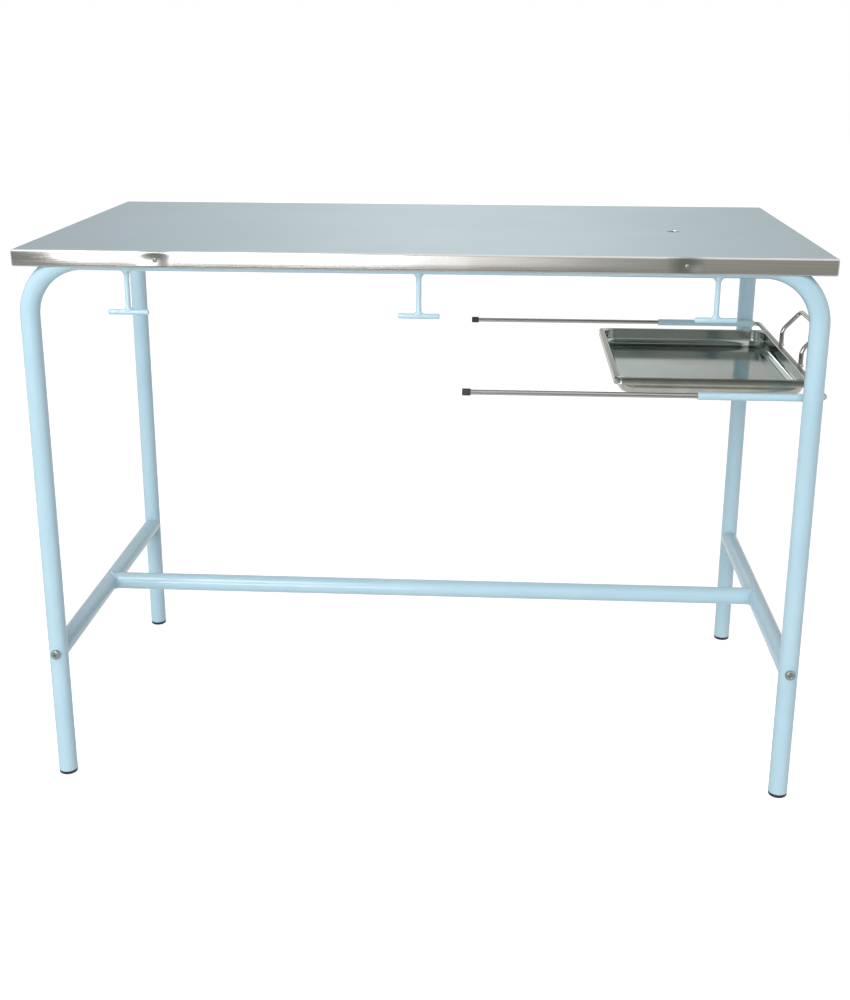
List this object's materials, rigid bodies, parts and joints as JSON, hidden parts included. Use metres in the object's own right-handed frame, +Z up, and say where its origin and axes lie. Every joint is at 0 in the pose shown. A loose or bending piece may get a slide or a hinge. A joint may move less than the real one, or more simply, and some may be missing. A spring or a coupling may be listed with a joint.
{
  "type": "veterinary examination table",
  "caption": "Examination table with a dished stainless top and drain, a bent tube frame with tie hooks, and an instrument tray that slides out at one end.",
  "frame": {"origin": "on the floor, under the middle of the whole outline with the tray pushed in", "axes": "+X along the table towards the tray handle, +Y across the table to the rear, +Z up"},
  "size_m": [1.2483, 0.6546, 0.872],
  "materials": {
    "top_steel": "satin, with a polished edge",
    "plain_steel": "plain",
    "tray_steel": "polished",
    "chrome": "bright plate",
    "blue_enamel": "glossy pale blue paint",
    "black_plastic": "moulded",
    "black_rubber": "matt"
  },
  "bodies": {
    "table": {"top_sheet": "top_steel", "drain_spigot": "plain_steel", "left_top_stiffener": "plain_steel", "right_top_stiffener": "plain_steel", "front_portal": "blue_enamel", "rear_portal": "blue_enamel", "left_side_stretcher": "blue_enamel", "right_side_stretcher": "blue_enamel", "middle_stretcher": "blue_enamel", "front_left_hook": "blue_enamel", "front_centre_hook": "blue_enamel", "front_right_hook": "blue_enamel", "rear_left_hook": "blue_enamel", "rear_centre_hook": "blue_enamel", "rear_right_hook": "blue_enamel", "front_tray_sleeve": "blue_enamel", "rear_tray_sleeve": "blue_enamel", "front_left_foot_plug": "black_plastic", "front_right_foot_plug": "black_plastic", "rear_left_foot_plug": "black_plastic", "rear_right_foot_plug": "black_plastic", "front_left_stretcher_bolt": "plain_steel", "front_right_stretcher_bolt": "plain_steel", "rear_left_stretcher_bolt": "plain_steel", "rear_right_stretcher_bolt": "plain_steel", "front_left_stretcher_insert": "plain_steel", "front_right_stretcher_insert": "plain_steel", "rear_left_stretcher_insert": "plain_steel", "rear_right_stretcher_insert": "plain_steel", "front_left_rim_screw": "plain_steel", "front_right_rim_screw": "plain_steel", "rear_left_rim_screw": "plain_steel", "rear_right_rim_screw": "plain_steel"},
    "tray_carriage": {"tray_rod": "chrome", "front_rod_cap": "black_rubber", "rear_rod_cap": "black_rubber", "tray": "tray_steel", "tray_handle": "chrome"}
  },
  "joints": [
    {"name": "tray_slide", "type": "slide", "parent": "table", "child": "tray_carriage", "axis": [1, 0, 0], "range_m": [0, 0.34]}
  ]
}
